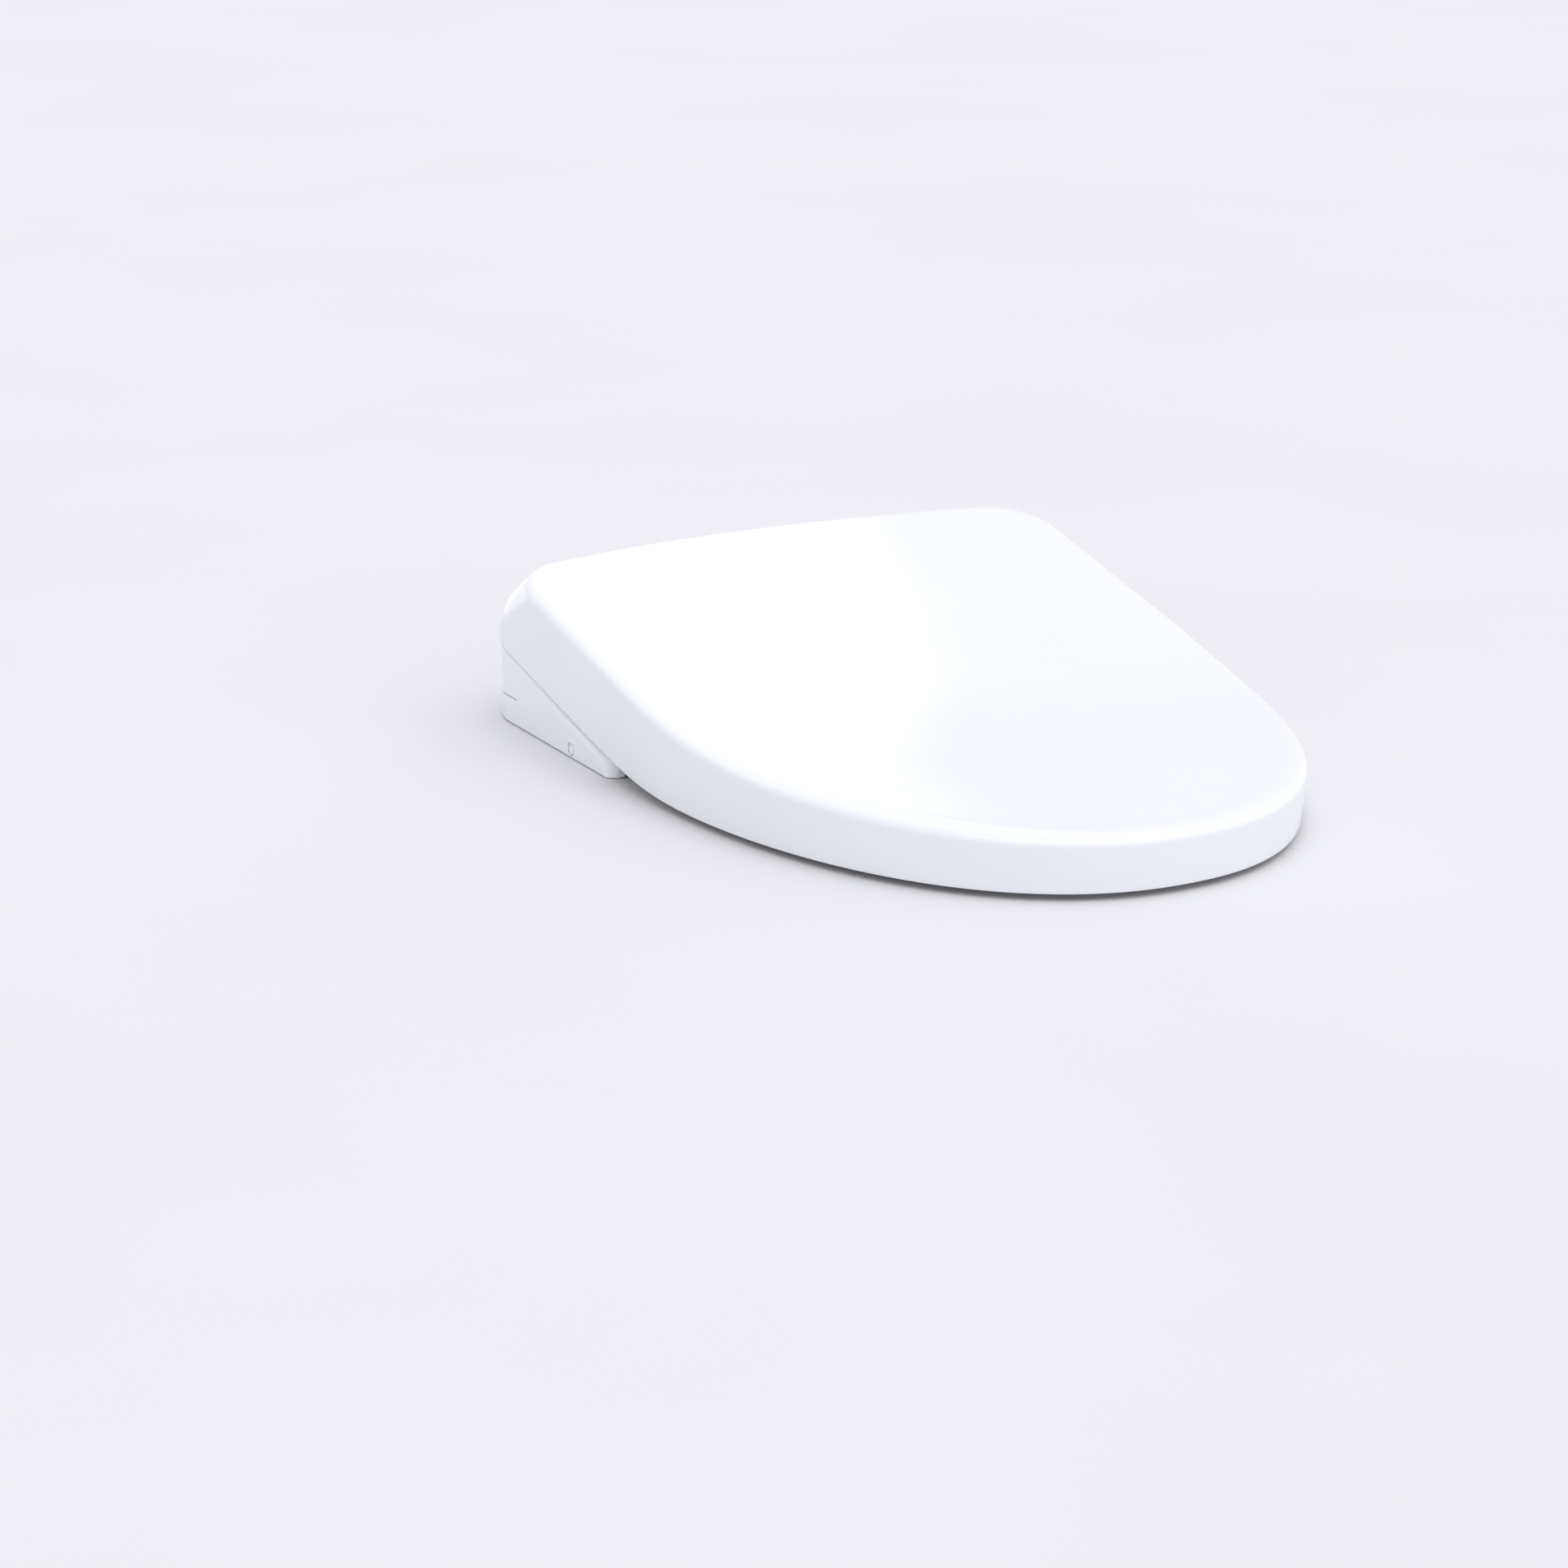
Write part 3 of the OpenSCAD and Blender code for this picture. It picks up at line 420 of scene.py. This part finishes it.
FRONT_Y = 78.0                  # front edge of a cover
FACE_END_Y = 84.0               # where its main face runs out at the foot
SWEEP_Y = 106.0                 # where the bevel starts to sweep down to the foot
SWEEP_TURN = 0.69               # share of the sweep where its upper edge turns down
BEVEL_ROWS = 7
FACE_ROWS = [COVER_FOOT, COVER_FOOT + 0.35, 4, 8, 12, 15, *SLIT_Z, 22, 27, 32, 38, 45, 60]


def cover_path(inset):
    """Half outline of a cover in plan, from the front of its main face to the rear joint."""
    r, centre_x, centre_y, turn = rear_corner(inset, RIM_REAR)
    sweep = FACE_END_Y + (SWEEP_Y - FACE_END_Y) * np.linspace(0, 1, 22) ** 1.3
    middle = np.linspace(SWEEP_Y, SLIT_Y, 22)[1:]
    last = np.linspace(SLIT_Y + 0.05, centre_y, 4)
    flank_y = np.concatenate([sweep, middle, last])
    flank = np.stack([np.full(len(flank_y), HALF_W - inset), flank_y], 1)
    slot_turn = math.acos((ARM_SLOT_X - centre_x) / (CORNER_R - COVER_INSET))
    a = np.concatenate([np.linspace(0, slot_turn, 20)[1:],
                        [slot_turn + 0.001], np.linspace(slot_turn, math.pi / 2 - turn, 4)[1:]])
    bend = np.stack([centre_x + r * np.cos(a), centre_y + r * np.sin(a)], 1)
    tail = rear_bow(np.linspace(bend[-1, 0], COVER_X, 3)[1:], inset, RIM_REAR)
    return np.concatenate([flank, bend, tail])


def taper_limit(z):
    return HALF_L - TAPER * (1 - min(1.0, z / TAPER_Z))


def face_points(face, inward, face_top, slit):
    """Points up a cover's main face, with a slit cut in where there is one."""
    points = []
    for z in FACE_ROWS:
        level = min(z, face_top)
        on_face = [*(face + inward * (0.35 if z == COVER_FOOT else 0.0)), level]
        in_slit = [*(face + inward * (SLIT_DEPTH if slit else 0.0)), level]
        if z == SLIT_Z[0]:
            points += [on_face, in_slit]
        elif z == SLIT_Z[1]:
            points += [in_slit, on_face]
        else:
            points.append(on_face)
    return points


def bevel_points(low, knee, high):
    """Rounded strip from the main face to the upper edge, drawn towards the knee."""
    middle = (low + high) / 2
    knee = middle + 0.62 * (knee - middle)
    shares = [k / BEVEL_ROWS for k in range(1, BEVEL_ROWS + 1)]
    return [(1 - t) ** 2 * low + 2 * t * (1 - t) * knee + t * t * high for t in shares]


def cover_section(face, inner, slit):
    """Closed section of a cover at one station of its path, as a list of points."""
    x, y = face
    top = ARM_SLOT_Z if x < ARM_SLOT_X else float(rim_z(y)) - COVER_GAP
    sweep = float(np.clip((SWEEP_Y - y) / (SWEEP_Y - FACE_END_Y), 0.0, 1.0))
    forward = 1 - float(smooth((y - FRONT_Y) / 130))
    face_top = (top - 2.5 - 2.7 * forward) * (1 - sweep ** 2.6) + COVER_FOOT * sweep ** 2.6
    edge_y = y - (y - FRONT_Y) * min(1.0, sweep * 1.45) ** 1.5
    down = max(0.0, (sweep - SWEEP_TURN) / (1 - SWEEP_TURN))
    edge_top = float(rim_z(edge_y)) - COVER_GAP if x >= ARM_SLOT_X else top
    edge_z = edge_top * (1 - down) + COVER_FOOT * down
    inward = inner - face
    inward /= np.linalg.norm(inward)
    pull = inward * (2.2 + 4.6 * forward)
    low = np.array([x, y, face_top])
    knee = np.array([x, edge_y + 0.35 * (y - edge_y), edge_z])
    high = np.array([x + pull[0], edge_y + pull[1], edge_z])
    points = face_points(face, inward, face_top, slit) + bevel_points(low, knee, high)
    points += [[inner[0], inner[1] - (y - edge_y), z] for z in (edge_z, COVER_FOOT)]
    section = np.array(points)
    limit = np.array([taper_limit(z) for z in section[:, 2]])
    limit[-1] -= COVER_WALL
    section[:, 1] = np.minimum(section[:, 1], limit)
    return section


def cut_box(low, high):
    work = bmesh.new()
    bmesh.ops.create_cube(work, size=1.0)
    for vertex in work.verts:
        for axis in range(3):
            middle, size = (low[axis] + high[axis]) / 2, high[axis] - low[axis]
            vertex.co[axis] = (middle + vertex.co[axis] * size) * MM
    return cutter(work)


def cut_rod(x0, x1, r, y, z):
    work = bmesh.new()
    bmesh.ops.create_cone(work, cap_ends=True, segments=64, radius1=r * MM, radius2=r * MM,
                          depth=(x1 - x0) * MM)
    for vertex in work.verts:
        across, up, along = vertex.co
        vertex.co = Vector(((x0 + x1) / 2 * MM + along, y * MM + across, z * MM + up))
    bmesh.ops.recalc_face_normals(work, faces=work.faces)
    return cutter(work)


def cutter(work):
    mesh = bpy.data.meshes.new("cutter")
    work.to_mesh(mesh)
    work.free()
    obj = bpy.data.objects.new("cutter", mesh)
    bpy.context.scene.collection.objects.link(obj)
    return obj


def cut(obj, cutters):
    for tool in cutters:
        modifier = obj.modifiers.new("cut", "BOOLEAN")
        modifier.operation = "DIFFERENCE"
        modifier.solver = "EXACT"
        modifier.object = tool
    apply_modifiers(obj)
    for tool in cutters:
        bpy.data.objects.remove(tool)


def build_side_cover(side):
    node = "side_cover_right" if side > 0 else "side_cover_left"
    faces_path, inner_path = cover_path(COVER_INSET), cover_path(COVER_INSET + COVER_WALL)
    sections = []
    for face, inner in zip(faces_path, inner_path):
        inner[0] = min(inner[0], BAY_X)
        slit = face[1] > SLIT_Y and face[0] > SLIT_X
        sections.append(cover_section(face, inner, slit) * [side, 1, 1])
    count = len(sections[0])
    faces = ring_faces(len(sections), count)
    faces.append(tuple(range(count)))
    faces.append(tuple((len(sections) - 1) * count + j for j in range(count)))
    cover = make_object(node + "_moulding", np.concatenate(sections), faces)
    work = bmesh.new()
    work.from_mesh(cover.data)
    bmesh.ops.remove_doubles(work, verts=work.verts, dist=0.02 * MM)
    bmesh.ops.dissolve_degenerate(work, dist=0.005 * MM, edges=work.edges)
    bmesh.ops.recalc_face_normals(work, faces=work.faces)
    work.to_mesh(cover.data)
    work.free()
    if side < 0:
        centre, reach = node_centre("release_button")
        cut(cover, [cut_rod(-HALF_W, -BAY_X - 3, reach + 0.12, centre[1], centre[2])])
    else:
        centre, reach = node_centre("drain_plug")
        low, high = (np.array(corner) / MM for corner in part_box("deodorizer_cartridge"))
        cut(cover, [cut_rod(BAY_X - 2, HALF_W, reach + 0.3, centre[1], centre[2]),
                    cut_box((BAY_X - 2, low[1] - 0.6, low[2] - 0.6),
                            (HALF_W, high[1] + 0.6, high[2] + 0.6))])
    shade(cover, 32)
    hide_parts(node)
    return finish_piece(cover, node)


def node_centre(node):
    """Middle of a node's box and half its height, in millimetres."""
    low, high = (np.array(corner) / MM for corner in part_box(node))
    return (low + high) / 2, (high[2] - low[2]) / 2


for cover_side in (-1, 1):
    build_side_cover(cover_side)

# ---------------------------------------------------------------- seat ring

def seat_oval(a, half, mid, front, rear, front_power, rear_power):
    c, s = math.cos(a), math.sin(a)
    q = 2 / (front_power if s < 0 else rear_power)
    reach = front - mid if s < 0 else rear - mid
    return np.array([half * math.copysign(abs(c) ** q, c), mid + reach * abs(s) ** q])


def seat_frame(a):
    """Outer and inner point of the ring at angle a, its width and its base and top heights."""
    outer = seat_oval(a, *SEAT_OUTER)
    inner = seat_oval(a, *SEAT_INNER)
    y = (outer[1] + inner[1]) / 2
    base = 5.4 + 36.6 * float(smooth((y - 30) / 48))
    top = 27.5 + float(upswing(y + 20, 0.26, 30))
    return outer, inner, float(np.linalg.norm(inner - outer)), base, top


def seat_ring(section, name, node, hard, angles=144):
    """Ring of a section swept round the seat; hard names the section's sharp corners."""
    rings = []
    for k in range(angles):
        outer, inner, width, base, top = seat_frame(2 * math.pi * k / angles)
        ring = []
        for across, z in section(width, base, top):
            place = outer + (inner - outer) * across / width
            ring.append([place[0], place[1], z])
        rings.append(ring)
    count = len(rings[0])
    obj = make_object(name, np.array(rings).reshape(-1, 3), ring_faces(angles, count, closed=True))
    work = bmesh.new()
    work.from_mesh(obj.data)
    crease = work.edges.layers.float.new("crease_edge")
    work.verts.ensure_lookup_table()
    for edge in work.edges:
        first, last = (v.index % count for v in edge.verts)
        if first == last and first in hard:
            edge[crease] = 0.9
    work.to_mesh(obj.data)
    work.free()
    subdivide = obj.modifiers.new("smooth", "SUBSURF")
    subdivide.levels = subdivide.render_levels = 2
    apply_modifiers(obj)
    shade(obj, 40)
    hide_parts(node)
    return finish_piece(obj, node)


def upper_shell(w, base, top):
    """Hollow section from the outer edge over the sitting face to the hole's edge, and back inside."""
    h = top - base
    foot = base + PLATE_T + 0.2
    k = SEAT_WALL
    return [(0.2, foot), (0, top - 0.6 * h), (0.4, top - 0.33 * h), (3, top - 0.13 * h),
            (9, top - 0.01 * h), (w * 0.35, top), (w * 0.62, top - 0.02 * h), (w - 12, top - 0.12 * h),
            (w - 4, top - 0.27 * h), (w - 0.4, top - 0.45 * h), (w, top - 0.65 * h), (w - 0.2, foot),
            (w - k, foot), (w - k, top - 0.5 * h - 1), (w - 13, top - 0.12 * h - k),
            (w / 2, top - k), (9, top - k), (k, top - 0.42 * h - 1), (k, foot)]


def lower_plate(w, base, _top):
    """Flat section that closes the shell from below."""
    return [(0.9, base), (0.4, base + 0.6), (0.4, base + PLATE_T), (w - 0.4, base + PLATE_T),
            (w - 0.4, base + 0.6), (w - 0.9, base), (w * 0.7, base), (w * 0.3, base)]


seat_ring(upper_shell, "seat_upper_shell", "seat_top", {0, 11, 12, 18})
seat_ring(lower_plate, "seat_lower_plate", "seat_bottom", {2, 3})

# ---------------------------------------------------------------- carried-over CAD nodes

SOFTENED = {
    "top_cover": 0.9, "base_case": 0.6, "front_panel": 0.5, "rear_cover": 0.5,
    "mounting_plate": 0.6, "seat_hinge_left": 1.0, "seat_hinge_right": 1.0,
    "lid_hinge_left": 0.8, "lid_hinge_right": 0.8, "wand_gate": 0.4, "dryer_flap": 0.4,
    "drain_plug": 0.4, "release_button": 0.4,
    "cord_gland": 0.5, "water_inlet": 0.4,
}


def dress(obj, material):
    """Gives a CAD object's slots a material."""
    for slot in obj.material_slots:
        slot.material = material
    if not obj.material_slots:
        obj.data.materials.append(material)


for node_name, edge in SOFTENED.items():
    finish_piece(softened(node_name, edge), node_name)
for node_name, obj in frame["nodes"].items():
    if node_name not in SOFTENED:
        dress(obj, MATERIALS[SLOT_OF[node_name]])

# ---------------------------------------------------------------- floor, lights and camera

def build_floor():
    size = 30.0
    mesh = bpy.data.meshes.new("floor")
    mesh.from_pydata([(-size, -size, 0), (size, -size, 0), (size, size, 0), (-size, size, 0)], [],
                     [(0, 1, 2, 3)])
    floor = bpy.data.objects.new("floor", mesh)
    bpy.context.scene.collection.objects.link(floor)
    material, tree, shader = base_material("pale_floor", (0.79, 0.79, 0.79), 0.7, specular=0.0)
    tint(tree, shader, noise(tree, 2.0), (0.78, 0.78, 0.78), (0.80, 0.80, 0.80))
    mesh.materials.append(material)


CARD_CENTRE = Vector((-0.065, 0.62, 0.75))
CARD_LEAN = math.radians(34)


def card_light(shift):
    """A leaning card behind the seat, seen only as a reflection on the lid."""
    data = bpy.data.lights.new("rear_card", "AREA")
    data.shape = "RECTANGLE"
    data.size = 1.0
    data.size_y = 2.4
    data.energy = 2.7
    card = bpy.data.objects.new("rear_card", data)
    card.location = CARD_CENTRE + shift * Vector((math.cos(CARD_LEAN), 0, -math.sin(CARD_LEAN)))
    facing = Vector((0, -1, 0)).to_track_quat("-Z", "Y")
    card.rotation_euler = (facing @ Quaternion((0, 0, 1), CARD_LEAN)).to_euler()
    card.visible_camera = False
    card.visible_diffuse = False
    bpy.context.scene.collection.objects.link(card)


def dim_side(tree, strength, direction, full, low):
    """Room light that falls off towards one side, like the wall behind a bowl."""
    place = tree.nodes.new("ShaderNodeTexCoord")
    facing = tree.nodes.new("ShaderNodeVectorMath")
    facing.operation = "DOT_PRODUCT"
    facing.inputs[1].default_value = direction
    tree.links.new(place.outputs["Generated"], facing.inputs[0])
    tree.links.new(remap(tree, facing.outputs["Value"], full, low), strength)


def build_lights():
    world = bpy.data.worlds.new("studio")
    world.use_nodes = True
    back = world.node_tree.nodes["Background"]
    back.inputs["Color"].default_value = (0.932, 0.937, 1.0, 1)
    dim_side(world.node_tree, back.inputs["Strength"], (-0.5, 0.87, 0.0), 1.09, 0.63)
    bpy.context.scene.world = world
    sun = bpy.data.lights.new("overhead", "SUN")
    sun.energy = 0.56
    sun.angle = math.radians(60)
    overhead = bpy.data.objects.new("overhead", sun)
    overhead.rotation_euler = (math.radians(18), math.radians(6), 0)
    bpy.context.scene.collection.objects.link(overhead)
    for shift in (-0.04, 0.0, 0.04):
        card_light(shift)
    bpy.context.scene.view_settings.view_transform = "Standard"


def build_camera():
    data = bpy.data.cameras.new("camera")
    data.sensor_width = 36.0
    data.lens = 87.104
    camera = bpy.data.objects.new("camera", data)
    forward = Vector((0.4624, 0.8350, -0.2982))
    camera.location = (-1.1614, -1.8954, 0.6844)
    camera.rotation_euler = forward.to_track_quat("-Z", "Y").to_euler()
    bpy.context.scene.collection.objects.link(camera)
    bpy.context.scene.camera = camera


build_floor()
build_lights()
build_camera()
